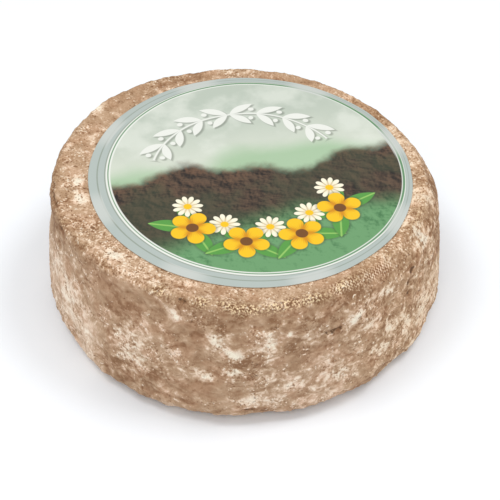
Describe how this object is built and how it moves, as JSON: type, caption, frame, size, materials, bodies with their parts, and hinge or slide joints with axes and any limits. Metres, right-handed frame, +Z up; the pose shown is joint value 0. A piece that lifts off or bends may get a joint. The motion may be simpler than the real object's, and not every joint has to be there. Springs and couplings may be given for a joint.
{
  "type": "goat tomme",
  "caption": "Whole round wheel of goat's cheese with a mottled natural brown rind, a slumped bulging side and a round paper label stuck on its flat top.",
  "frame": {"origin": "middle of the flat face that the wheel rests on", "axes": "+Z up through the label, +X to the right and -Y towards the viewer in the reference view"},
  "size_m": [0.1888, 0.1873, 0.0697],
  "materials": {
    "rind": "matte",
    "label": "satin"
  },
  "bodies": {
    "root": {"wheel": "rind", "label": "label"}
  },
  "joints": []
}
